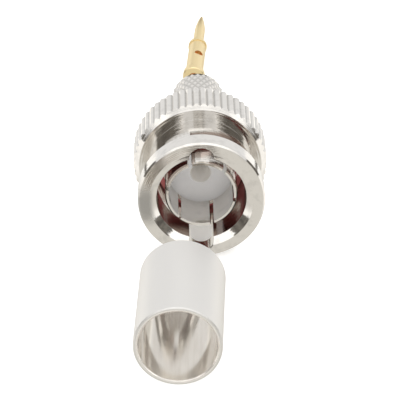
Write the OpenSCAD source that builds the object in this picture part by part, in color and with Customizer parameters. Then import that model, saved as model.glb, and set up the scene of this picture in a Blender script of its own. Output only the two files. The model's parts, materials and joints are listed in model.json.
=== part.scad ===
// Crimp-on bayonet coaxial plug in its three loose pieces: the plug itself with its
// free-turning coupling nut, the crimp ferrule in front of it and the centre contact behind.
// Millimetres, +Z up. Every axis lies level: the plug's mating face looks along -Y.
// Lengths inside the plug are counted back (+Y) from the front face of the coupling nut.

/* [Coupling nut] */
// Diameter over the fluted grip ring
ring_d = 15; // [14.4:0.1:16]
// Length of the fluted grip ring
ring_len = 4.9; // [4:0.1:6]
// Diameter of the flat faces at both ends of the grip ring
ring_face_d = 13.8; // [13.2:0.1:14.2]
// Length of the chamfer at the front of the grip ring
ring_chamfer = 0.5; // [0.2:0.05:0.7]
// Length of the chamfer at the rear of the grip ring
rear_chamfer = 0.3; // [0.1:0.05:0.6]
// Number of V flutes round the grip ring
flute_count = 56; // [40:2:64]
// Width of one flute at the ring's surface
flute_w = 0.6; // [0.4:0.02:0.7]
// Depth of one flute
flute_depth = 0.24; // [0.15:0.01:0.35]
// Diameter of the plain band at the mouth
band_d = 13.96; // [13.6:0.02:14.3]
// Length of the plain band at the mouth
band_len = 2.2; // [1.8:0.1:2.6]
// Diameter of the slotted barrel between band and ring
barrel_d = 11.5; // [11.2:0.1:12.2]
// Length of the slotted barrel
barrel_len = 6.2; // [6:0.1:7.5]
// Bore that takes the mating socket
bore_d = 9.9; // [9.8:0.02:10]
// Diameter of the countersunk mouth at the front face
mouth_d = 11.5; // [11:0.1:11.8]
// Depth of the countersink
mouth_depth = 0.5; // [0.3:0.05:0.9]
// Small outer chamfer of the front face
lip_chamfer = 0.18; // [0.1:0.02:0.3]
// Thickness of the wall that closes the nut behind the washers
end_wall = 3; // [2:0.1:3.4]

/* [Bayonet track] */
// Diameter of the two entry grooves for the socket's studs
entry_d = 2.7; // [2.5:0.1:2.9]
// Wall that the entry grooves leave under the band's surface
entry_wall = 0.65; // [0.4:0.05:0.8]
// Chamfer of the grooves' mouths at the front face
entry_chamfer = 0.1; // [0.05:0.01:0.15]
// Length of the entry grooves from the front face
entry_len = 5.6; // [5.2:0.1:6]
// Width of the sloping slots
track_w = 2.3; // [2.1:0.05:2.5]
// Angle that the sloping slots turn through
track_turn = 82; // [70:1:88]
// How far the sloping slots lead backwards
track_rise = 2; // [1.5:0.1:2.2]
// Diameter of the round seat at the end of a slot
seat_d = 2.5; // [2.4:0.05:2.7]

/* [Outer contact] */
// Outside diameter of the slotted spring sleeve
sleeve_d = 8; // [7.9:0.02:8.1]
// Wall of the spring sleeve
sleeve_wall = 0.4; // [0.35:0.01:0.5]
// Length of the sleeve in front of the body's flange
sleeve_len = 6.9; // [6.5:0.1:7.3]
// Number of slots that part the sleeve into fingers
finger_slots = 6; // [4:2:6]
// Width of one finger slot
finger_slot_w = 0.45; // [0.3:0.05:0.6]
// Length of the finger slots from the tip
finger_slot_len = 5; // [4:0.1:5]
// Angle of the first finger slot from straight up
finger_turn = 41; // [35:1:50]
// Length of the tail pressed into the body
tail_len = 3.2; // [2.5:0.1:4]
// Step from the sleeve up to the shoulder that holds the gasket
gasket_step = 0.2; // [0.18:0.01:0.3]
// Chamfer of the sleeve's tip
sleeve_edge = 0.15; // [0.05:0.01:0.2]

/* [Insulators] */
// Outside diameter of the front insulator
insulator_d = 6.86; // [6.8:0.02:6.9]
// Distance from the sleeve's tip to the front insulator's face
insulator_set = 5.1; // [4.8:0.1:5.3]
// Length of the taper that seats the front insulator
insulator_seat = 0.4; // [0.2:0.05:0.6]
// Length of the front insulator
insulator_len = 4.2; // [3.6:0.1:4.8]
// Outside diameter of the rear insulator
rear_insulator_d = 6.4; // [6:0.1:6.5]
// Length of the rear insulator
rear_insulator_len = 3; // [2:0.1:3.5]

/* [Gasket and washers] */
// Thickness of the silicone gasket, front to back
gasket_t = 0.9; // [0.7:0.05:1.2]
// Chamfer of the gasket's front edge
gasket_edge = 0.15; // [0.05:0.01:0.3]
// Thickness of the flat thrust washer
washer_t = 0.25; // [0.2:0.01:0.3]
// Free height of the wave washer
wave_h = 0.8; // [0.7:0.02:0.95]
// Thickness of the wave washer's strip
wave_t = 0.2; // [0.15:0.01:0.25]
// Number of waves round the wave washer
wave_count = 3; // [3:1:4]
// Thickness of the retaining ring
clip_t = 0.5; // [0.4:0.05:0.6]
// Opening between the ends of the retaining ring
clip_gap = 2.2; // [1.5:0.1:3]
// Outside diameter of the retaining ring
clip_d = 9.6; // [9.4:0.1:10]
// Depth of the groove that the retaining ring sits in
clip_depth = 0.34; // [0.25:0.01:0.4]

/* [Body] */
// Thickness of the flange that holds the nut on
flange_t = 0.9; // [0.7:0.05:1.2]
// Diameter of the hub that the nut turns on
hub_d = 8.36; // [8.2:0.02:8.5]
// Length of the hub behind the retaining ring
hub_tail = 2.5; // [2:0.1:4]
// Chamfer of the hub's rear edge
hub_chamfer = 0.3; // [0.1:0.05:0.5]
// Diameter over the diamond knurl of the crimp neck
neck_d = 6.2; // [6:0.05:6.4]
// Length of the crimp neck
neck_len = 10.5; // [8:0.1:12]
// Bore of the crimp neck, for the cable's dielectric
cable_bore_d = 4.8; // [4.4:0.05:5]
// Number of diamonds round the crimp neck
diamond_count = 26; // [20:2:30]
// Depth of the diamond knurl
diamond_depth = 0.19; // [0.15:0.01:0.3]
// Length of one diamond along the neck
diamond_len = 1.3; // [1:0.05:1.6]

/* [Crimp ferrule] */
// Outside diameter of the ferrule
ferrule_d = 9.1; // [8.9:0.05:9.4]
// Wall of the ferrule
ferrule_wall = 0.5; // [0.4:0.05:0.6]
// Length of the ferrule
ferrule_len = 14; // [12:0.1:16]
// Small chamfers of the ferrule's ends
ferrule_chamfer = 0.12; // [0.05:0.01:0.16]

/* [Centre contact] */
// Overall length of the centre contact
pin_len = 19; // [17:0.1:20]
// Diameter of the mating pin
pin_d = 1.37; // [1.32:0.01:1.4]
// Length of the mating pin from the locking collar
pin_reach = 9.3; // [8.4:0.1:9.6]
// Length of the pin's long rounded point
point_len = 4.6; // [4:0.1:6]
// Radius of the blunt end of the point
tip_r = 0.16; // [0.1:0.02:0.2]
// Diameter of the crimp barrel
barrel_pin_d = 2.2; // [2.1:0.02:2.25]
// Diameter of the locking collar
collar_d = 2.4; // [2.34:0.02:2.5]
// Length of the locking collar
collar_len = 0.55; // [0.4:0.05:1]
// Diameter of the flange at the wire end
pin_flange_d = 2.74; // [2.7:0.02:2.9]
// Length of the flange at the wire end
pin_flange_len = 1; // [0.8:0.05:1.4]
// Chamfer of the flange's outer edge
pin_flange_edge = 0.1; // [0.05:0.01:0.15]
// Bore for the cable's inner wire
wire_bore_d = 1.2; // [1:0.02:1.24]
// Depth of the wire bore
wire_bore_len = 7.6; // [7:0.1:8]
// Diameter of the inspection hole
inspect_d = 1.1; // [0.8:0.05:1.2]
// Distance of the inspection hole from the wire end
inspect_at = 5.4; // [5:0.1:6.4]
// Turn of the inspection hole from straight up
inspect_turn = 22; // [0:1:40]

/* [Layout] */
// Gap between the ferrule and the nut's front face
ferrule_gap = 11.7; // [9:0.1:16]
// Sideways place of the ferrule's middle
ferrule_x = -2.5; // [-3:0.1:3]
// Turn of the ferrule from the plug's axis
ferrule_yaw = 2.7; // [-5:0.1:5]
// Gap between the crimp neck and the centre contact
pin_gap = 18.1; // [15:0.1:24]
// Sideways place of the centre contact's wire end
pin_x = -0.26; // [-2.5:0.01:2.5]
// Turn of the centre contact from the plug's axis
pin_yaw = 4.1; // [-5:0.1:5]

/* [Fits] */
// Radial play of every running fit
run_fit = 0.07; // [0.03:0.01:0.09]
// Radial gap round parts that lie loosely
loose_fit = 0.15; // [0.1:0.01:0.18]
// Forward play of the nut against the wave washer
nut_play = 0.5; // [0.3:0.05:0.55]

/* [Hidden] */
$fn = 96;
SKIN = 0.01;        // overshoot of a cut past the face that it opens
CUT_REACH = 0.4;    // how far the track's cutters reach past both faces of the wall
ARC_STEP = 2;       // degrees between the sections of the swept track
WAVE_STEP = 4;      // degrees between the sections of the wave washer
NECK_SUNK = 0.5;    // how far the crimp neck reaches into the hub
NECK_DROP = 0.1;    // how far the neck's last row tapers below its grooves
POINT_STEPS = 8;    // cones that make up the pin's rounded point
POINT_POWER = 1.7;  // how late the point bends in: 1 is a plain cone

// nut, from the front face backwards
ring_at = band_len + barrel_len;
nut_len = ring_at + ring_len;
wall_at = nut_len - end_wall;
bore_r = bore_d / 2;
barrel_r = barrel_d / 2;
hub_r = hub_d / 2;
hub_hole_r = hub_r + run_fit;
entry_r = band_d / 2 - entry_wall - entry_d / 2;
track_at = entry_len - track_w / 2;

// what the nut holds
washer_at = wall_at - washer_t;
wave_space = wave_h + 2 * SKIN;
flange_at = washer_at - wave_space - flange_t;
flange_r = bore_r - run_fit;
gasket_at = flange_at - gasket_t;
tip_at = flange_at - sleeve_len;
face_at = tip_at + insulator_set;
seat_end = face_at + insulator_seat;

// inside the body
sleeve_r = sleeve_d / 2;
insulator_r = insulator_d / 2;
gasket_seat_r = sleeve_r + gasket_step;
tail_r = insulator_r + sleeve_wall;
tail_end = flange_at + tail_len;
rear_at = face_at + insulator_len;
rear_end = rear_at + rear_insulator_len;
contact_hole_r = barrel_pin_d / 2 + run_fit;
flange_hole_r = pin_flange_d / 2 + run_fit;
cable_bore_r = cable_bore_d / 2;
clip_at = nut_len;
clip_r = hub_r - clip_depth;
hub_end = clip_at + clip_t + hub_tail;
neck_end = hub_end + neck_len;
neck_r = neck_d / 2;

// layout: the axis heights follow from what touches the surface
axis_h = ring_d / 2;
ferrule_r = ferrule_d / 2;
ferrule_far = -ferrule_gap;
ferrule_near = ferrule_far - ferrule_len;
pin_at = neck_end + pin_gap;
// the object's box: the front and rear ends of the two turned pieces, as laid
front_y = (ferrule_far + ferrule_near) / 2
    - (ferrule_len * cos(ferrule_yaw) + ferrule_d * sin(abs(ferrule_yaw))) / 2;
back_y = pin_at + pin_len * cos(pin_yaw);
mid_y = (front_y + back_y) / 2;

METAL = "#c9c7c2";
SATIN = "#dedcd8";
GOLD = "#e3bd6a";
RUBBER = "#8c2f33";
PTFE = "#f1f1ef";

// Lays a piece that is drawn along +Z down on the plug's axis, its Z = 0 at the nut's face
module on_axis() translate([0, -mid_y, axis_h]) rotate([-90, 0, 0]) children();

// Turned solid: points are [distance along the axis, radius]
module turned(points) rotate_extrude() polygon([for (p = points) [p[1], p[0]]]);

// Plain bore between two places on the axis
module bore(r, from, to) translate([0, 0, from]) cylinder(r = r, h = to - from);

// ---- coupling nut ----

// Outline of the grip ring: flat lands with V flutes between them
function flute_outline(r, n, w, depth) = [
    for (i = [0 : n - 1], p = [[-w / 2, 0], [0, -depth], [w / 2, 0]])
        let (a = 360 * i / n + p[0] / r * 180 / PI) (r + p[1]) * [sin(a), cos(a)]];

module grip_ring() {
    low_r = ring_face_d / 2;
    intersection() {
        translate([0, 0, ring_at]) linear_extrude(ring_len)
            polygon(flute_outline(ring_d / 2, flute_count, flute_w, flute_depth));
        turned([[ring_at, 0], [ring_at, low_r], [ring_at + ring_chamfer, ring_d / 2 + SKIN],
                [nut_len - rear_chamfer, ring_d / 2 + SKIN], [nut_len, low_r], [nut_len, 0]]);
    }
}

// Cutter of one sloping slot: a band swept round the axis, from angle 0 over track_turn
module track_cutter(in_r, out_r) {
    steps = ceil(track_turn / ARC_STEP);
    corners = [[in_r, -1], [out_r, -1], [out_r, 1], [in_r, 1]];
    points = [for (i = [0 : steps], c = corners)
        let (a = track_turn * i / steps, z = track_at + track_rise * i / steps)
            [c[0] * sin(a), -c[0] * cos(a), z + c[1] * track_w / 2]];
    sides = [for (i = [0 : steps - 1], k = [0 : 3])
        let (a = 4 * i + k, b = 4 * i + (k + 1) % 4) [a, b, b + 4, a + 4]];
    last = 4 * steps;
    polyhedron(points, concat([[3, 2, 1, 0]], sides, [[last, last + 1, last + 2, last + 3]]));
}

// Everything that a socket's stud passes: entry groove, sloping slot and round seat
module stud_path() {
    in_r = bore_r - CUT_REACH;
    out_r = barrel_r + CUT_REACH;
    translate([0, -entry_r, -1]) cylinder(d = entry_d, h = entry_len + 1);
    translate([0, -entry_r, -SKIN])
        cylinder(r1 = entry_d / 2 + entry_chamfer, r2 = entry_d / 2, h = entry_chamfer);
    track_cutter(in_r, out_r);
    rotate([0, 0, track_turn]) translate([0, -in_r, track_at + track_rise])
        rotate([90, 0, 0]) cylinder(d = seat_d, h = out_r - in_r);
}

module coupling_nut() color(METAL) on_axis() difference() {
    union() {
        turned([[0, 0], [0, band_d / 2 - lip_chamfer], [lip_chamfer, band_d / 2],
                [band_len, band_d / 2], [band_len, barrel_r],
                [ring_at + SKIN, barrel_r], [ring_at + SKIN, 0]]);
        grip_ring();
    }
    bore(bore_r, -1, wall_at);
    bore(hub_hole_r, wall_at - SKIN, nut_len + 1);
    mouth_r = mouth_d / 2;
    lead = SKIN * (mouth_r - bore_r) / mouth_depth;
    turned([[-SKIN, 0], [-SKIN, mouth_r + lead], [mouth_depth, bore_r], [mouth_depth, 0]]);
    for (a = [0, 180]) rotate([0, 0, a]) stud_path();
}

// ---- washers and gasket inside the nut ----

module thrust_washer() color(METAL) on_axis() difference() {
    bore(bore_r - loose_fit, washer_at, wall_at);
    bore(hub_r + loose_fit, washer_at - 1, wall_at + 1);
}

module wave_washer() color(METAL) on_axis() translate([0, 0, washer_at - wave_space / 2]) {
    in_r = hub_r + loose_fit;
    out_r = bore_r - loose_fit;
    steps = 360 / WAVE_STEP;
    lift = (wave_h - wave_t) / 2;
    corners = [[in_r, -1], [out_r, -1], [out_r, 1], [in_r, 1]];
    points = [for (i = [0 : steps - 1], c = corners)
        let (a = WAVE_STEP * i) [c[0] * sin(a), -c[0] * cos(a),
                                 lift * sin(wave_count * a) + c[1] * wave_t / 2]];
    sides = [for (i = [0 : steps - 1], k = [0 : 3])
        let (n = (i + 1) % steps, l = (k + 1) % 4) [4 * i + k, 4 * i + l, 4 * n + l, 4 * n + k]];
    polyhedron(points, sides);
}

module gasket() color(RUBBER) on_axis() difference() {
    out_r = bore_r - loose_fit;
    turned([[gasket_at, 0], [gasket_at, out_r - gasket_edge], [gasket_at + gasket_edge, out_r],
            [flange_at, out_r], [flange_at, 0]]);
    bore(gasket_seat_r, gasket_at - 1, flange_at + 1);
}

// ---- outer contact and insulators ----

module outer_contact() color(METAL) on_axis() difference() {
    front_r = sleeve_r - sleeve_wall;
    turned([[tip_at, 0], [tip_at, sleeve_r - sleeve_edge], [tip_at + sleeve_edge, sleeve_r],
            [gasket_at, sleeve_r], [gasket_at, gasket_seat_r], [flange_at, gasket_seat_r],
            [flange_at, tail_r], [tail_end, tail_r], [tail_end, 0]]);
    bore(front_r, tip_at - 1, face_at);
    turned([[face_at - SKIN, 0], [face_at - SKIN, front_r], [face_at, front_r],
            [seat_end, insulator_r], [tail_end + 1, insulator_r], [tail_end + 1, 0]]);
    for (i = [0 : finger_slots - 1])
        rotate([0, 0, finger_turn + 360 * i / finger_slots])
            translate([-finger_slot_w / 2, -sleeve_r - 1, tip_at - 1])
                cube([finger_slot_w, sleeve_r, finger_slot_len + 1]);
}

module front_insulator() color(PTFE) on_axis() difference() {
    turned([[face_at, 0], [face_at, sleeve_r - sleeve_wall], [seat_end, insulator_r],
            [rear_at, insulator_r], [rear_at, 0]]);
    bore(contact_hole_r, face_at - 1, rear_at + 1);
}

module rear_insulator() color(PTFE) on_axis() difference() {
    bore(rear_insulator_d / 2, rear_at, rear_end);
    bore(flange_hole_r, rear_at - 1, rear_end + 1);
}

// ---- body with the knurled crimp neck ----

// Diamond knurl as rows of four-sided points; the grooves cross between them
module diamond_knurl(r, depth, n, row, from, rows) {
    low = r - depth;
    end_r = low - NECK_DROP;
    pitch = 360 / n;
    function spot(i, j, peak) =
        let (a = (i + (j % 2) / 2 + (peak ? 0.5 : 0)) * pitch,
             p = j == rows ? end_r : peak ? r : low)
            [p * sin(a), -p * cos(a), from + j * row];
    // each row holds its n groove crossings, then its n points
    points = [for (j = [0 : rows], k = [0 : 2 * n - 1]) spot(k % n, j, k >= n)];
    function low_at(i, j) = 2 * n * j + (i + n) % n;
    function peak_at(i, j) = low_at(i, j) + n;
    // crossing straight above or below the point number i of row j
    function beside(i, j, up) = low_at(i + j % 2, j + up);
    upper = [for (j = [0 : rows - 1], i = [0 : n - 1], k = [0, 1]) k == 0
        ? [low_at(i, j), beside(i, j, 1), peak_at(i, j)]
        : [beside(i, j, 1), low_at(i + 1, j), peak_at(i, j)]];
    lower = [for (j = [1 : rows], i = [0 : n - 1], k = [0, 1]) k == 0
        ? [beside(i, j, -1), low_at(i, j), peak_at(i, j)]
        : [low_at(i + 1, j), beside(i, j, -1), peak_at(i, j)]];
    function rim(j) = [for (i = [0 : n - 1], k = [0, 1]) k == 0 ? low_at(i, j) : peak_at(i, j)];
    polyhedron(points, concat(upper, lower, [rim(0)], [[for (i = [2 * n - 1 : -1 : 0]) rim(rows)[i]]]));
}

module plug_body() color(METAL) on_axis() difference() {
    knurl_len = neck_len + NECK_SUNK;
    row_count = floor(knurl_len / (diamond_len / 2));
    row = knurl_len / row_count;
    union() {
        turned([[flange_at, 0], [flange_at, flange_r], [flange_at + flange_t, flange_r],
                [flange_at + flange_t, hub_r], [clip_at, hub_r], [clip_at, clip_r],
                [clip_at + clip_t, clip_r], [clip_at + clip_t, hub_r],
                [hub_end - hub_chamfer, hub_r], [hub_end, hub_r - hub_chamfer], [hub_end, 0]]);
        diamond_knurl(neck_r, diamond_depth, diamond_count, row, hub_end - NECK_SUNK, row_count);
    }
    bore(tail_r, flange_at - 1, tail_end);
    bore(rear_insulator_d / 2, tail_end - SKIN, rear_end);
    bore(cable_bore_r, rear_end - SKIN, neck_end + 1);
}

module retaining_ring() color(METAL) on_axis() difference() {
    bore(clip_d / 2, clip_at, clip_at + clip_t);
    bore(clip_r, clip_at - 1, clip_at + clip_t + 1);
    translate([-clip_gap / 2, 0, clip_at - 1]) cube([clip_gap, clip_d, clip_t + 2]);
}

// ---- the two loose pieces ----

module crimp_ferrule() {
    c = ferrule_chamfer;
    in_r = ferrule_r - ferrule_wall;
    color(SATIN)
        translate([ferrule_x, (ferrule_far + ferrule_near) / 2 - mid_y, ferrule_r])
            rotate([0, 0, -ferrule_yaw]) rotate([-90, 0, 0]) translate([0, 0, -ferrule_len / 2])
                turned([[0, in_r + c], [0, ferrule_r - c], [c, ferrule_r],
                        [ferrule_len - c, ferrule_r], [ferrule_len, ferrule_r - c],
                        [ferrule_len, in_r + c], [ferrule_len - c, in_r], [c, in_r]]);
}

module centre_contact() {
    wire_barrel_r = barrel_pin_d / 2;
    wire_flange_r = pin_flange_d / 2;
    edge = pin_flange_edge;
    collar_r = collar_d / 2;
    pin_r = pin_d / 2;
    collar_end = pin_len - pin_reach;
    collar_at = collar_end - collar_len;
    point_end = pin_len - tip_r / 2;
    // the radius falls ever faster towards the blunt tip
    point = [for (i = [1 : POINT_STEPS]) let (t = i / POINT_STEPS)
        [point_end - point_len * (1 - t), tip_r + (pin_r - tip_r) * (1 - pow(t, POINT_POWER))]];
    color(GOLD) translate([pin_x, pin_at - mid_y, wire_flange_r])
        rotate([0, 0, -pin_yaw]) rotate([-90, 0, 0]) difference() {
            turned(concat(
                [[0, 0], [0, wire_flange_r - edge], [edge, wire_flange_r],
                 [pin_flange_len, wire_flange_r], [pin_flange_len, wire_barrel_r],
                 [collar_at, wire_barrel_r], [collar_at, collar_r],
                 [collar_end, collar_r], [collar_end, pin_r], [point_end - point_len, pin_r]],
                point, [[pin_len, 0]]));
            translate([0, 0, -1]) cylinder(d = wire_bore_d, h = wire_bore_len + 1);
            rotate([0, 0, inspect_turn]) translate([0, 0, inspect_at])
                rotate([90, 0, 0]) cylinder(d = inspect_d, h = wire_barrel_r + 1);
        }
}

coupling_nut();
thrust_washer();
wave_washer();
outer_contact();
gasket();
front_insulator();
rear_insulator();
plug_body();
retaining_ring();
crimp_ferrule();
centre_contact();
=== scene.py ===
# %% [markdown]
# # A crimp-on bayonet coaxial plug, laid out with its two loose pieces
#
# The object is a small cable plug, all turned from brass rod and plated. In the middle
# lies the plug with its coupling nut, in front of it the ferrule that is later crimped
# over the cable's braid, and behind it the gold contact that takes the inner wire.
#
# The turned solids come ready made from the construction model, true to size and in the
# place where they lie. This lesson dresses them: it gives each metal and each plastic its
# own finish, models the two pieces that are soft or springy, and sets up the studio.

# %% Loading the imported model
import json
import math
from collections import namedtuple

import bpy
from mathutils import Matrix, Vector


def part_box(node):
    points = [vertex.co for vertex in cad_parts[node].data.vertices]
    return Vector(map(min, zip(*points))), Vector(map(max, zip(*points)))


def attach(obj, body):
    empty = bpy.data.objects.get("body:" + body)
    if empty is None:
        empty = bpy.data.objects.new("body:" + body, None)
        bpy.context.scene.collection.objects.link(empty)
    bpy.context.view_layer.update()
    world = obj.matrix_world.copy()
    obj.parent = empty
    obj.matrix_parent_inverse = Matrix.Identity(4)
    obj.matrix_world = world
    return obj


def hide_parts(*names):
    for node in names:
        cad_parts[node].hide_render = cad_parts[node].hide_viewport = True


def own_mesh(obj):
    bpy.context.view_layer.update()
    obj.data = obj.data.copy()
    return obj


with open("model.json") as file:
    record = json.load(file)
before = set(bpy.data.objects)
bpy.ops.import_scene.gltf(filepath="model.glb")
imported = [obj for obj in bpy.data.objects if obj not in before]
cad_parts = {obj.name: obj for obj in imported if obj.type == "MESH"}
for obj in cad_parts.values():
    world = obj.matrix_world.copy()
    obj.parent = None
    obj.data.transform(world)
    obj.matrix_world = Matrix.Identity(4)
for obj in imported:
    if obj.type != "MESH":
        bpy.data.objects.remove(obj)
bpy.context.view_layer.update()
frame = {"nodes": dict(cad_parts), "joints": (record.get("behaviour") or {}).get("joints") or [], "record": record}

MM = 0.001
nodes = frame["nodes"]
mounts = {mount["name"]: mount for mount in frame["record"]["mounts"]}
joints = {joint["name"]: joint for joint in frame["joints"]}
print("pieces:", ", ".join(sorted(nodes)))

# %% [markdown]
# ## The camera
#
# The group is seen from in front of the plug and a little above, from about a quarter of
# a metre: near enough that the ferrule looks bigger than the nut behind it. A long lens
# then frames it. The camera aims at the middle of the nut's front face, and the plug is
# turned by not quite a degree from its line of sight.

# %% The camera
nut_low, nut_high = (Vector(corner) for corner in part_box("coupling_nut"))
nut_face = Vector((0, nut_low.y, (nut_low.z + nut_high.z) / 2))

CAMERA_DISTANCE = 260 * MM
CAMERA_ELEVATION = math.radians(28)
CAMERA_AZIMUTH = math.radians(-0.94)
AIM_OFF = Vector((-0.17 * MM, 0, 0.06 * MM))
FOCAL_LENGTH = 214
NEAREST_SEEN = 10 * MM


def direction(azimuth, elevation):
    """The unit vector towards an azimuth (0 looks along -Y, + turns to +X) and elevation."""
    level = math.cos(elevation)
    return Vector((math.sin(azimuth) * level, -math.cos(azimuth) * level, math.sin(elevation)))


towards_camera = direction(CAMERA_AZIMUTH, CAMERA_ELEVATION)
bpy.ops.object.select_all(action="DESELECT")
bpy.ops.object.camera_add(
    location=nut_face + AIM_OFF + CAMERA_DISTANCE * towards_camera,
    rotation=(math.pi / 2 - CAMERA_ELEVATION, 0, CAMERA_AZIMUTH),
)
camera = bpy.context.object
camera.data.lens = FOCAL_LENGTH
camera.data.clip_start = NEAREST_SEEN
bpy.context.scene.camera = camera
print("camera aims at", [round(v / MM, 2) for v in nut_face], "mm")

# %% [markdown]
# ## Shader maths
#
# A finish is a small sum: so much noise, masked by so much wear. Drawn as nodes it takes
# a screenful, so one short class wraps an output socket and lets plain arithmetic add
# the Math nodes. Every other kind of node comes from its method `node`.

# %% A socket that does arithmetic
FIRST_COLOUR, SECOND_COLOUR, MIXED_COLOUR = 6, 7, 2  # a Mix node's colour sockets


class Signal:
    """An output socket of a material's nodes."""

    def __init__(self, tree, socket):
        self.tree, self.socket = tree, socket

    def node(self, kind, settings, sockets, output=0):
        """Adds a node: its settings first, then the values or links of its sockets."""
        made = self.tree.nodes.new(kind)
        for name, setting in settings.items():
            setattr(made, name, setting)
        for name, value in sockets.items():
            if isinstance(value, Signal):
                self.tree.links.new(value.socket, made.inputs[name])
            else:
                made.inputs[name].default_value = value
        return Signal(self.tree, made.outputs[output])

    def maths(self, operation, *values):
        return self.node("ShaderNodeMath", {"operation": operation}, dict(enumerate(values)))

    def __add__(self, other):
        return self.maths("ADD", self, other)

    def __radd__(self, other):
        return self.maths("ADD", other, self)

    def __sub__(self, other):
        return self.maths("SUBTRACT", self, other)

    def __rsub__(self, other):
        return self.maths("SUBTRACT", other, self)

    def __mul__(self, other):
        return self.maths("MULTIPLY", self, other)

    def __rmul__(self, other):
        return self.maths("MULTIPLY", other, self)

    def __pow__(self, other):
        return self.maths("POWER", self, other)

    def __neg__(self):
        return 0.0 - self

    def __abs__(self):
        return self.maths("ABSOLUTE", self)

    def at_least(self, low):
        return self.maths("MAXIMUM", self, low)

    def between(self, low, high):
        """0 below low and 1 above high, with a smooth passage. The two may be swapped."""
        return self.node(
            "ShaderNodeMapRange",
            {"interpolation_type": "SMOOTHSTEP"},
            {"Value": self, "From Min": low, "From Max": high},
        )

    def mix_colours(self, first, second):
        """first where this is 0, second where it is 1."""
        first, second = (c if isinstance(c, Signal) else (*c, 1) for c in (first, second))
        sockets = {"Factor": self, FIRST_COLOUR: first, SECOND_COLOUR: second}
        return self.node("ShaderNodeMix", {"data_type": "RGBA"}, sockets, MIXED_COLOUR)


# %% [markdown]
# ## The parts of a finish
#
# Every finish here starts from the same three things: an empty material, its shader, and
# the place of a point on the piece. Most pieces are turned on a lathe, so their marks
# run round an axis. `about_axis` turns a place into the lathe's own measures: how far
# along the axis, and how far out from it. Three more helpers make what most finishes
# share: cloudy grain, marks that follow one distance, and the relief of either. The
# relief's Bevel node rounds sharp edges in the light alone, which costs no faces.

# %% Empty finishes, the lathe's measures, grain and relief
Turned = namedtuple("Turned", "along out x z")


def new_finish(name, **fixed):
    """An empty material, its shader, and the place of a point on the piece."""
    material = bpy.data.materials.new(name)
    material.use_nodes = True
    tree = material.node_tree
    shader = tree.nodes["Principled BSDF"]
    for socket, value in fixed.items():
        shader.inputs[socket.replace("_", " ")].default_value = value
    place = Signal(tree, tree.nodes.new("ShaderNodeTexCoord").outputs["Object"])
    return material, shader, place


def feed(shader, socket, signal):
    """Links a signal to one of the shader's sockets."""
    signal.tree.links.new(signal.socket, shader.inputs[socket])


def about_axis(place, centre, yaw=0.0):
    """A place measured along a level axis through centre and out from it, with x and z."""
    turned = place.node(
        "ShaderNodeMapping",
        {"vector_type": "TEXTURE"},
        {"Vector": place, "Location": centre, "Rotation": (0, 0, -yaw)},
    )
    split = turned.node("ShaderNodeSeparateXYZ", {}, {"Vector": turned}).socket.node
    x, along, z = (Signal(turned.tree, output) for output in split.outputs)
    return Turned(along, (x * x + z * z) ** 0.5, x, z)


def grain_of(place, scale, detail=3.0):
    """Cloudy noise on a place, from 0 to 1; scale is in bumps per metre."""
    sockets = {"Vector": place, "Scale": scale, "Detail": detail}
    return place.node("ShaderNodeTexNoise", {}, sockets)


def marks_along(distance, scale, detail):
    """Noise that changes with one distance alone; scale is in marks per metre."""
    sockets = {"W": distance, "Scale": scale, "Detail": detail}
    return distance.node("ShaderNodeTexNoise", {"noise_dimensions": "1D"}, sockets)


def relief_of(height, strength, depth, rounding=0.0):
    """The normal of a relief, over edges that are rounded by a radius if one is given."""
    sockets = {"Strength": strength, "Distance": depth, "Height": height}
    if rounding:
        sockets["Normal"] = height.node("ShaderNodeBevel", {"samples": 4}, {"Radius": rounding})
    return height.node("ShaderNodeBump", {}, sockets)


def dress(node, material):
    """Gives a node of the construction model its finish."""
    slots = nodes[node].data.materials
    slots.clear()
    slots.append(material)
    print(node, "is finished in", material.name)


# %% [markdown]
# ## The studio
#
# Polished metal shows its surroundings more than itself, so the surroundings are chosen
# as a product photographer would: a white sweep under and round the group and one broad
# soft light above it. The floor exists twice. One copy is what the eye sees and what
# lights the group from below. Straight under the barrel a dark shadow, the plug's shade,
# is painted into its glow, and it shows through the entry grooves. The other copy is seen
# only in gloss, and its glow is painted: a band of warm grey shade along the group, where
# the pieces would shade it, and painted light at both sides.

# %% The floor and the sky
SKY_GLOW = 0.92
FLOOR_REACH = 3.0
UNDER_BARREL = (0, nut_face.y + 6 * MM, 0)
SHELTER_WIDTH, SHELTER_LENGTH = (5 * MM, 1.5 * MM), (6 * MM, 3 * MM)
PIECES_SHADE = (9 * MM, 20 * MM)
SWEEP_WHITE, PAINTED_SHADOW = (0.95, 0.95, 0.95), (0.2, 0.19, 0.18)
GLOSS_PAINTED_SHADE, GLOSS_ASIDE = (0.78, 0.76, 0.71), (1.2, 1.18, 1.14)

world = bpy.data.worlds.new("studio")
bpy.context.scene.world = world
world.use_nodes = True
sky = world.node_tree.nodes["Background"].inputs
sky["Color"].default_value = (1.0, 1.0, 1.0, 1)
sky["Strength"].default_value = SKY_GLOW
bpy.context.scene.view_settings.view_transform = "Standard"


def stage_paint(name, shade, glow=1.0, albedo=0.0):
    """A matt stage paint, whose glow has one shade or a shade worked out for each spot."""
    material, shader, spot = new_finish(
        name,
        Roughness=1.0,
        Specular_IOR_Level=0.0,
        Base_Color=(albedo, albedo, albedo, 1),
        Emission_Strength=glow,
    )
    if callable(shade):
        feed(shader, "Emission Color", shade(spot))
    else:
        shader.inputs["Emission Color"].default_value = (*shade, 1)
    return material


def stage_sheet(name, corners, material, gloss_only=True):
    """A flat sheet of the stage through pairs of corners, seen only in gloss if asked."""
    rows = len(corners) // 2
    mesh = bpy.data.meshes.new(name)
    faces = [(2 * row, 2 * row + 1, 2 * row + 3, 2 * row + 2) for row in range(rows - 1)]
    mesh.from_pydata(corners, [], faces)
    mesh.materials.append(material)
    sheet = bpy.data.objects.new(name, mesh)
    bpy.context.collection.objects.link(sheet)
    if gloss_only:
        sheet.visible_camera = False
        sheet.visible_diffuse = False
        sheet.visible_shadow = False
    return sheet


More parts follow.
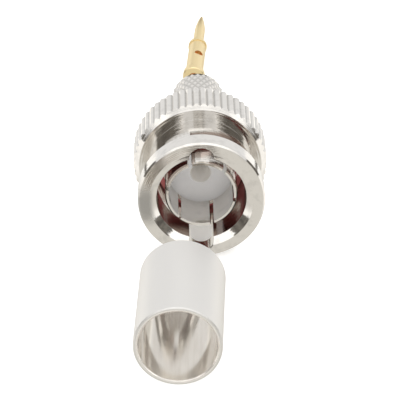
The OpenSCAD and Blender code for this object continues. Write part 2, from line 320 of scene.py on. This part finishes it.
def floor_corners(height):
    sides = (-FLOOR_REACH, FLOOR_REACH)
    return [(x, y, height) for y in sides for x in sides]


# Painted shadow: the floor's glow darkens straight under the barrel.
def sweep_shade(spot):
    off = about_axis(spot, UNDER_BARREL)
    shelter = off.out.between(*SHELTER_WIDTH) * abs(off.along).between(*SHELTER_LENGTH)
    return shelter.mix_colours(SWEEP_WHITE, PAINTED_SHADOW)


# Painted shade and light: the gloss-only floor's glow is darker along the group and brighter at both sides.
def gloss_shade(spot):
    aside = abs(about_axis(spot, (0, 0, 0)).x).between(*PIECES_SHADE)
    return aside.mix_colours(GLOSS_PAINTED_SHADE, GLOSS_ASIDE)


white_sweep = stage_paint("white_sweep", sweep_shade, glow=0.6, albedo=0.95)
floor = stage_sheet("floor", floor_corners(0), white_sweep, gloss_only=False)
floor.visible_glossy = False
stage_sheet("floor_in_gloss", floor_corners(-0.1 * MM), stage_paint("warm_sweep", gloss_shade))
print("floor and sky are up, the floor", 2 * FLOOR_REACH, "m wide")

# %% [markdown]
# ## Dark flags and strips
#
# A bright nut on a white sweep would have no edges at all. Two low dark flags to the left
# and right of the camera draw the grey bands down both sides of its barrel. Each flag has
# a foot that lies on the floor, so that its reflection doesn't end in a gap. A strip on
# the floor at each side, farther back, draws a dark line on the shoulders of the nut's
# front band. All are seen only in gloss, and none casts a shadow.

# %% Flags and strips
SIDES = (("left", -1), ("right", 1))
FLAG_AZIMUTHS = (17.5, 57)  # in degrees, from straight in front of the nut
FLAG_HEIGHTS = (120 * MM, 65 * MM)
FLAG_FOOT, FLAG_DISTANCE = 45 * MM, 300 * MM
STRIP_X = (18 * MM, 32 * MM)
STRIP_Y = (nut_face.y + 35 * MM, nut_face.y + 46 * MM)
ABOVE_FLOOR = 0.1 * MM
CLOTH, CLOTH_FOLDS = (0.11, 0.10, 0.09), (0.22, 0.205, 0.18)


def cloth_shade(spot):
    folds = grain_of(spot, 40.0).between(0.35, 0.65)
    return folds.mix_colours(CLOTH, CLOTH_FOLDS)


def flag_edge(azimuth, height):
    """One upright edge of a flag: the tip of its foot, then its bottom and its top."""
    away = direction(math.radians(azimuth), 0)
    steps = ((FLAG_FOOT, ABOVE_FLOOR), (FLAG_DISTANCE, ABOVE_FLOOR), (FLAG_DISTANCE, height))
    return [(reach * away.x, nut_face.y + reach * away.y, z) for reach, z in steps]


flag_cloth = stage_paint("flag_cloth", cloth_shade)
for side_name, side in SIDES:
    inner, outer = (flag_edge(side * a, h) for a, h in zip(FLAG_AZIMUTHS, FLAG_HEIGHTS))
    stage_sheet("flag_" + side_name, [c for pair in zip(inner, outer) for c in pair], flag_cloth)
    strip = [(side * x, y, ABOVE_FLOOR) for y in STRIP_Y for x in STRIP_X]
    stage_sheet("strip_" + side_name, strip, flag_cloth)
print("flags stand", round(FLAG_DISTANCE / MM), "mm from the nut")

# %% [markdown]
# ## Cards and the lens
#
# A bright card above the camera lights every chamfer that leans towards the lens, and two
# more at its sides light the chamfers that lean outwards. Low dark cards at both sides
# and behind give the metal its edges for anyone who looks from there. A small mottled
# sheet stands for the lens itself, which any shiny barrel shows in its middle. A card is
# given by the angles between which the nut sees it, in degrees.

# %% Cards and lens
CARD_DISTANCE, LENS_DISTANCE = 500 * MM, 310 * MM
BRIGHT_CARDS = {
    "card_above_camera": ((-60, 60), (34, 68)),
    "card_left": ((-60, -18), (14, 35)),
    "card_right": ((18, 60), (14, 35)),
}
DARK_CARDS = {
    "dark_card_left": ((-114, -66), (0, 22)),
    "dark_card_right": ((66, 114), (0, 22)),
    "dark_card_back": ((168, 192), (0, 14)),
}
LENS_SPANS = ((-7, 6), (23, 32))
LENS_DARK, LENS_LIGHT = (0.33, 0.32, 0.30), (0.9, 0.88, 0.84)


def facing_card(name, spans, distance, material):
    """A card that faces the nut, over a span of azimuths and one of elevations."""
    azimuths, elevations = ([math.radians(angle) for angle in span] for span in spans)
    corners = [nut_face + distance * direction(a, e) for e in elevations for a in azimuths]
    stage_sheet(name, corners, material)


def lens_shade(spot):
    blotches = grain_of(spot, 70.0).between(0.4, 0.6)
    return blotches.mix_colours(LENS_DARK, LENS_LIGHT)


white_card = stage_paint("bright_card", (1.0, 0.99, 0.97), glow=1.4)
for cards, paint in ((BRIGHT_CARDS, white_card), (DARK_CARDS, flag_cloth)):
    for card_name, spans in cards.items():
        facing_card(card_name, spans, CARD_DISTANCE, paint)
facing_card("lens", LENS_SPANS, LENS_DISTANCE, stage_paint("lens_grey", lens_shade))
print(len(BRIGHT_CARDS), "bright cards,", len(DARK_CARDS), "dark cards and the lens are up")

# %% [markdown]
# ## The lamp
#
# One broad light above and a little behind the group gives the plastics and the satin
# pieces their gentle fall from top to side. It is weak, because the sky does the rest.

# %% The lamp
LAMP_PLACE = Vector((0, 0.1, 1.2))
LAMP_SIZE, LAMP_POWER = 0.9, 2

aim = (nut_face - LAMP_PLACE).to_track_quat("-Z", "Y").to_euler()
bpy.ops.object.select_all(action="DESELECT")
bpy.ops.object.light_add(type="AREA", location=LAMP_PLACE, rotation=aim)
lamp = bpy.context.object
lamp.name = "light_above"
lamp.data.shape = "SQUARE"
lamp.data.size = LAMP_SIZE
lamp.data.energy = LAMP_POWER
lamp.visible_camera = False
print("lamp:", lamp.name, "of", LAMP_POWER, "watts")

# %% [markdown]
# ## Bright nickel
#
# The nut, the body and the outer contact are turned brass, barrel plated with nickel.
# Two things tell turned metal from cast: the fine spirals left by the tool, which run
# round the axis on every surface, and the soft bruises from tumbling in the barrel. The
# spirals are one-dimensional noise over "distance along the axis plus distance from the
# axis": on a cylinder only the first changes, on a flat face only the second, so the
# same noise rings both. Fine tool marks and the wider waves of the tool's chatter are
# two such noises. The scale of each noise says how many marks there are in a metre.

# %% Bright nickel
NICKEL = (0.80, 0.775, 0.74)
TOOL_MARKS, CHATTER = 25000.0, 6000.0
BRUISES, DULL_SPOTS = 2600.0, 900.0
TURNED_EDGE = 0.03 * MM
NICKEL_RELIEF = 0.002 * MM


def bright_nickel(name, base=NICKEL, roughness=0.05, wear_and_shade=None):
    """Turned, plated metal. The optional function finds where scuffs and painted shade darken it, and how."""
    material, shader, place = new_finish(name, Metallic=1.0)
    lathe = about_axis(place, tuple(nut_face))
    spiral = lathe.along + lathe.out
    tool_marks = marks_along(spiral, TOOL_MARKS, 2.0)
    chatter = marks_along(spiral, CHATTER, 1.0)
    bruises = grain_of(place, BRUISES, 2.0)
    dull = grain_of(place, DULL_SPOTS, 4.0).between(0.45, 0.7)
    colour = dull.mix_colours(base, tuple(0.9 * part for part in base))
    rough = roughness + 0.05 * dull
    if wear_and_shade:
        # Real scuffs, and painted shade in grooves and in the bore, are mixed into the colour here.
        mask, shade, rougher = wear_and_shade(place, lathe)
        colour = mask.mix_colours(colour, shade)
        rough = rough + rougher * mask
    height = tool_marks + 2.0 * bruises + 9.0 * chatter
    feed(shader, "Base Color", colour)
    feed(shader, "Roughness", rough)
    feed(shader, "Normal", relief_of(height, 0.3, NICKEL_RELIEF, TURNED_EDGE))
    return material


dress("outer_contact", bright_nickel("contact_nickel"))

# %% [markdown]
# ## Painted shade in the nickel's hollows, and a scuff
#
# The flutes of the grip and the cuts of the knurl are painted darker than the lands
# between them: a painted shade in the bottom of each groove, which makes both readable.
# The grooves are found by measure: the lands' radius comes from the solid itself, and
# what lies below it is a groove. On the grip's front chamfer the lands slope down, and
# the measure follows them. The nut's bore is painted darker and reddish brown, a painted
# shade of the deep hole and a painted reflection of the red gasket. The bore ends at the
# wall that bears on the thrust washer, which is also the place of the joint that turns
# the nut. The nut's face is scuffed on one side, where nuts rub together in the bag.

# %% Measuring the lands and the bore
KNURL_BEHIND_NUT = 3.2 * MM
MOUTH_DEPTH, BORE_REACH = 0.5 * MM, 5.6 * MM


def radius_of(vertex):
    return math.hypot(vertex.co.x, vertex.co.z - nut_face.z)


def lands_of(node, behind=0.0):
    """The radius of a node's lands, and how far behind the nut's face they start."""
    vertices = [v for v in nodes[node].data.vertices if v.co.y - nut_face.y > behind]
    radius = max(map(radius_of, vertices))
    lands = [v.co.y - nut_face.y for v in vertices if radius_of(v) > radius - 0.01 * MM]
    return radius, min(lands)


grip_radius, grip_start = lands_of("coupling_nut")
knurl_start = nut_high.y - nut_face.y + KNURL_BEHIND_NUT
knurl_radius, _ = lands_of("plug_body", knurl_start)
bore_end = joints["nut_turn"]["pos_m"][1] - nut_face.y
for part, size in (("grip", grip_radius), ("knurl", knurl_radius), ("bore's end", bore_end)):
    print(part, "measures", round(size / MM, 3), "mm")

# %% [markdown]
# The nut and the body each have a function that finds where shade is painted on them, and
# on the nut the scuff too. It gives a mask, the colour painted under it, and how much
# rougher the metal is there.

# %% Painted shade in flutes, bore and knurl, and the scuff
# The scuff's colour, also used as painted shade in the flutes; the bore's painted shade and painted gasket
# reflection; the painted shade in the knurl's cuts.
SCUFF_AND_FLUTE_SHADE, BORE_PAINTED_SHADE, KNURL_PAINTED_SHADE = (0.45, 0.44, 0.42), (0.42, 0.33, 0.30), (0.40, 0.39, 0.37)
FLUTE_DEPTHS, KNURL_DEPTHS = (0.1 * MM, 0.22 * MM), (0.08 * MM, 0.19 * MM)
SCUFF_ASIDE, SCUFF_HEIGHT = (4.7 * MM, 5.8 * MM), (3.2 * MM, 0.8 * MM)
SCUFF_DROP = 0.6 * MM


def scuffed_and_shaded_nut(place, lathe):
    chamfer = (grip_start - lathe.along).at_least(0.0)
    depth = grip_radius - chamfer - lathe.out
    on_grip = lathe.along.between(grip_start - 0.3 * MM, grip_start - 0.2 * MM)
    # Painted shade in the bottom of each flute.
    flutes = depth.between(*FLUTE_DEPTHS) * on_grip
    at_side = (-lathe.x).between(*SCUFF_ASIDE)
    at_height = abs(lathe.z + SCUFF_DROP).between(*SCUFF_HEIGHT)
    smears = grain_of(place, 700.0, 2.0).between(0.15, 0.5)
    scuff = at_side * at_height * smears * lathe.along.between(0.4 * MM, 0.1 * MM)
    behind_mouth = lathe.along.between(MOUTH_DEPTH, MOUTH_DEPTH + 0.1 * MM)
    before_wall = lathe.along.between(bore_end, bore_end - 0.05 * MM)
    # Painted shade of the deep bore, reddish as a painted reflection of the red gasket.
    in_bore = lathe.out.between(BORE_REACH, BORE_REACH - 0.1 * MM) * behind_mouth * before_wall
    mask = 0.55 * flutes + scuff + 0.7 * in_bore
    return mask, in_bore.mix_colours(SCUFF_AND_FLUTE_SHADE, BORE_PAINTED_SHADE), 0.35 - 0.35 * in_bore


def painted_knurl_shade(place, lathe):
    on_knurl = lathe.along.between(knurl_start, knurl_start + 0.1 * MM)
    # Painted shade in the knurl's cuts.
    cuts = (knurl_radius - lathe.out).between(*KNURL_DEPTHS) * on_knurl
    return 0.4 * cuts, KNURL_PAINTED_SHADE, 0.1


dress("coupling_nut", bright_nickel("nut_nickel", wear_and_shade=scuffed_and_shaded_nut))
dress("plug_body", bright_nickel("body_nickel", wear_and_shade=painted_knurl_shade))

# %% [markdown]
# ## Spring steel
#
# The snap ring and the flat washer are cut from bright strip. Strip is rolled, not
# plated, so it is greyer and less glossy than the nickel round it. The nickel's function
# makes it too, with another colour and roughness.

# %% Spring steel
STRIP_STEEL = (0.62, 0.61, 0.60)
spring_steel = bright_nickel("spring_steel", base=STRIP_STEEL, roughness=0.2)
dress("retaining_ring", spring_steel)
dress("thrust_washer", spring_steel)

# %% [markdown]
# ## Satin tin on the ferrule
#
# The ferrule is drawn brass tube with a satin tin plate outside. Inside it is as bright
# as the drawing die left it, with fine lines along the tube, so the finish changes over
# at the wall: from a soft white sheen outside to a streaky mirror inside.

# %% Satin tin
TIN = (0.815, 0.80, 0.775)
DRAWN_TIN, DRAWN_BRIGHT = (0.83, 0.785, 0.725), (0.91, 0.87, 0.81)
DRAWN_OUT = (1, 0.08, 1)  # how the grain is stretched along the tube
SATIN_RELIEF = 0.003 * MM
FERRULE_EDGE = 0.06 * MM


def heading(mount):
    """The yaw of a mount's axis from +Y, in radians."""
    x, y, _ = mounts[mount]["axis"]
    return math.atan2(x, y) if y > 0 else math.atan2(-x, -y)


ferrule_low, ferrule_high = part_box("crimp_ferrule")
ferrule_radius = (ferrule_high[2] - ferrule_low[2]) / 2


def satin_tin():
    material, shader, place = new_finish("satin_tin")
    lathe = about_axis(place, mounts["ferrule_bore"]["pos_m"], heading("ferrule_bore"))
    inside = lathe.out.between(ferrule_radius - 0.2 * MM, ferrule_radius - 0.45 * MM)
    grain = grain_of(place, 5000.0)
    stretched = place.node("ShaderNodeMapping", {}, {"Vector": place, "Scale": DRAWN_OUT})
    wall = grain_of(stretched, 1500.0).between(0.35, 0.65).mix_colours(DRAWN_TIN, DRAWN_BRIGHT)
    feed(shader, "Base Color", inside.mix_colours(TIN, wall))
    feed(shader, "Roughness", 0.42 + 0.06 * grain - 0.34 * inside)
    feed(shader, "Metallic", 1 - 0.4 * inside)
    feed(shader, "Normal", relief_of(grain, 0.2, SATIN_RELIEF, FERRULE_EDGE))
    return material


dress("crimp_ferrule", satin_tin())

# %% [markdown]
# ## Gold on the centre contact
#
# The contact is brass with a thin gold plate, satin from the barrel. Thin gold over
# nickel is paler than solid gold, and no two square millimetres have quite the same
# depth, so a fine grain mixes two golds. Light that falls in through the inspection hole
# turns redder each time that the gold throws it back, so the bore there glows orange.

# %% Gold
PALE_GOLD, PALER_GOLD = (0.95, 0.765, 0.42), (0.97, 0.81, 0.49)
DEEP_GOLD, DEEP_GLOW = (0.95, 0.52, 0.22), (0.16, 0.07, 0.025)


def satin_gold():
    bore = mounts["wire_bore"]
    radius = bore["dims"]["r_mm"] * MM
    material, shader, place = new_finish("satin_gold", Metallic=1.0, Emission_Strength=1.0)
    lathe = about_axis(place, bore["pos_m"], heading("wire_bore"))
    grain = grain_of(place, 4000.0)
    in_bore = lathe.out.between(radius + 0.06 * MM, radius + 0.02 * MM)
    in_bore = in_bore * lathe.along.between(1 * MM, 1.3 * MM)
    in_bore = in_bore * lathe.along.between(4 * MM, 3.7 * MM)
    gold = grain.mix_colours(PALE_GOLD, PALER_GOLD)
    feed(shader, "Base Color", in_bore.mix_colours(gold, DEEP_GOLD))
    feed(shader, "Emission Color", in_bore.mix_colours((0, 0, 0), DEEP_GLOW))
    feed(shader, "Roughness", 0.3 + 0.1 * grain)
    feed(shader, "Normal", relief_of(grain, 0.2, SATIN_RELIEF, TURNED_EDGE))
    return material


dress("centre_contact", satin_gold())

# %% [markdown]
# ## The gasket
#
# A flat ring of dark red silicone lies on the flange at the bottom of the nut's bore and
# seals the joint. It is moulded, so none of its edges is sharp. It could be a bevelled
# cylinder with a hole cut in it, but a moulded ring is easier to think of as its own
# cross-section swept once round. So a small plane becomes the cross-section, its corners
# are rounded as the mould's are, and Spin takes it round the plug's axis.

# %% The gasket
SPIN_STEPS = 96
CORNER_STEPS = 4
MOULD_ROUNDING = 0.12 * MM
SAME_PLACE = 0.001 * MM


def ring_space(node):
    """A ring node's inner and outer radius, and where it starts and ends along Y."""
    radii = [radius_of(v) for v in nodes[node].data.vertices]
    low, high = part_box(node)
    return min(radii), max(radii), low[1], high[1]


def spun_ring(name, inner, outer, front, back, rounding):
    """A ring round the plug's axis, from a cross-section with rounded corners."""
    bpy.ops.object.select_all(action="DESELECT")
    middle = (0, (front + back) / 2, nut_face.z + (inner + outer) / 2)
    bpy.ops.mesh.primitive_plane_add(size=1, location=middle, rotation=(0, math.pi / 2, 0))
    ring = bpy.context.object
    ring.name = name
    ring.scale = (outer - inner, back - front, 1)
    bpy.ops.object.transform_apply(location=True, rotation=True, scale=True)
    bpy.ops.object.mode_set(mode="EDIT")
    bpy.ops.mesh.select_all(action="SELECT")
    bpy.ops.mesh.bevel(offset=rounding, segments=CORNER_STEPS, affect="VERTICES")
    bpy.ops.mesh.delete(type="ONLY_FACE")
    bpy.ops.mesh.select_all(action="SELECT")
    axis_point = (0, middle[1], nut_face.z)
    bpy.ops.mesh.spin(steps=SPIN_STEPS, angle=2 * math.pi, center=axis_point, axis=(0, 1, 0))
    bpy.ops.mesh.select_all(action="SELECT")
    bpy.ops.mesh.remove_doubles(threshold=SAME_PLACE)
    bpy.ops.mesh.normals_make_consistent(inside=False)
    bpy.ops.object.mode_set(mode="OBJECT")
    bpy.ops.object.shade_smooth_by_angle(angle=math.radians(50))
    return ring


inner, outer, front, back = ring_space("gasket")
gasket = spun_ring("moulded_gasket", inner, outer, front, back, MOULD_ROUNDING)
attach(gasket, "plug")
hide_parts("gasket")
print("gasket:", len(gasket.data.polygons), "faces,", round((back - front) / MM, 2), "mm thick")

# %% [markdown]
# Silicone is matt and lets a little light in, so that it never looks quite dark even at
# the bottom of the bore: a faint glow stands for that light. Talc from the mould dusts
# it, and a cloudy noise mixes a paler red in for the dust.

# %% Silicone
SILICONE, SILICONE_LIGHT = (0.30, 0.055, 0.055), (0.38, 0.07, 0.07)
TALC_RED, SILICONE_GLOW = (0.42, 0.17, 0.16), (0.065, 0.024, 0.022, 1)
MOULD_GRAIN = 0.01 * MM


def red_silicone():
    material, shader, place = new_finish(
        "red_silicone", IOR=1.42, Emission_Color=SILICONE_GLOW, Emission_Strength=1.0
    )
    grain = grain_of(place, 3000.0)
    talc = grain_of(place, 700.0, 4.0).between(0.4, 0.75)
    reds = grain.mix_colours(SILICONE, SILICONE_LIGHT)
    feed(shader, "Base Color", (0.5 * talc).mix_colours(reds, TALC_RED))
    feed(shader, "Roughness", 0.5 + 0.1 * grain)
    feed(shader, "Normal", relief_of(grain, 0.2, MOULD_GRAIN))
    return material


gasket.data.materials.append(red_silicone())
print("gasket is finished in", gasket.data.materials[0].name)

# %% [markdown] ## The wave washer Behind the flange a wavy ring of thin steel presses
# the nut back, so that a coupled plug doesn't rattle. It flattens when the nut is pulled
# forward; here it keeps its free, waved shape. It is modelled as it is made: a flat ring is cut
# from strip, then set into three waves, then the strip gets its thickness.

# %% The wave washer
WAVE_STEPS = 96
WAVES = 3
STRIP = 0.2 * MM


def pick_corners(piece, angle):
    """Selects the corners of a ring that lie at one angle round the plug's axis."""
    bpy.ops.mesh.select_all(action="DESELECT")
    bpy.ops.object.mode_set(mode="OBJECT")
    for vertex in piece.data.vertices:
        at = math.atan2(vertex.co.x, vertex.co.z - nut_face.z)
        vertex.select = abs(math.remainder(at - angle, 2 * math.pi)) < math.pi / WAVE_STEPS
    bpy.ops.object.mode_set(mode="EDIT")


def waved_ring(name, inner, outer, front, back):
    """A ring of strip in waves that reach from front to back."""
    middle = (0, (front + back) / 2, nut_face.z)
    lift = (back - front - STRIP) / 2
    bpy.ops.object.select_all(action="DESELECT")
    bpy.ops.mesh.primitive_circle_add(
        vertices=WAVE_STEPS, radius=inner, location=middle, rotation=(math.pi / 2, 0, 0)
    )
    ring = bpy.context.object
    ring.name = name
    bpy.ops.object.transform_apply(location=True, rotation=True, scale=True)
    bpy.ops.object.mode_set(mode="EDIT")
    bpy.ops.mesh.select_mode(type="VERT")
    bpy.ops.mesh.select_all(action="SELECT")
    bpy.ops.mesh.extrude_edges_move()
    wider = (outer / inner, 1, outer / inner)
    bpy.ops.transform.resize(value=wider, center_override=middle)
    for step in range(WAVE_STEPS):
        angle = 2 * math.pi * step / WAVE_STEPS
        pick_corners(ring, angle)
        bpy.ops.transform.translate(value=(0, lift * math.sin(WAVES * angle), 0))
    bpy.ops.mesh.select_all(action="SELECT")
    bpy.ops.mesh.normals_make_consistent(inside=False)
    bpy.ops.object.mode_set(mode="OBJECT")
    thickness = ring.modifiers.new("strip", "SOLIDIFY")
    thickness.thickness = STRIP
    thickness.offset = 0
    bpy.ops.object.modifier_apply(modifier=thickness.name)
    bpy.ops.object.shade_smooth_by_angle(angle=math.radians(40))
    return ring


inner, outer, front, back = ring_space("wave_washer")
wave_spring = waved_ring("wave_spring", inner, outer, front, back)
wave_spring.data.materials.append(spring_steel)
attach(wave_spring, "plug")
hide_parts("wave_washer")
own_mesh(wave_spring)

# %% [markdown]
# ## Fluoropolymer
#
# The insulators are turned from white fluoropolymer. It is waxy: light goes in and comes
# out again a millimetre away, which takes the hard edge off every shadow. Even the deep
# hole for the contact isn't black, because its wall glows with light that came through
# the plastic, so the wall gets a little glow of its own.

# %% Fluoropolymer
POLYMER, POLYMER_LIGHT = (0.88, 0.87, 0.87), (0.93, 0.92, 0.92)
HOLE_GLOW = (0.062, 0.057, 0.047)
hole_radius = mounts["contact_hole"]["dims"]["r_mm"] * MM


def white_fluoropolymer():
    material, shader, place = new_finish(
        "white_fluoropolymer",
        IOR=1.36,
        Subsurface_Weight=0.25,
        Subsurface_Scale=1.2 * MM,
        Subsurface_Radius=(1.0, 0.97, 0.94),
        Emission_Strength=1.0,
    )
    grain = grain_of(place, 2000.0)
    from_axis = about_axis(place, tuple(nut_face)).out
    in_hole = from_axis.between(hole_radius + 0.05 * MM, hole_radius + 0.01 * MM)
    feed(shader, "Base Color", grain.mix_colours(POLYMER, POLYMER_LIGHT))
    feed(shader, "Roughness", 0.5 + 0.1 * grain)
    feed(shader, "Emission Color", in_hole.mix_colours((0, 0, 0), HOLE_GLOW))
    return material


polymer = white_fluoropolymer()
dress("front_insulator", polymer)
dress("rear_insulator", polymer)

# %% [markdown]
# ## The end
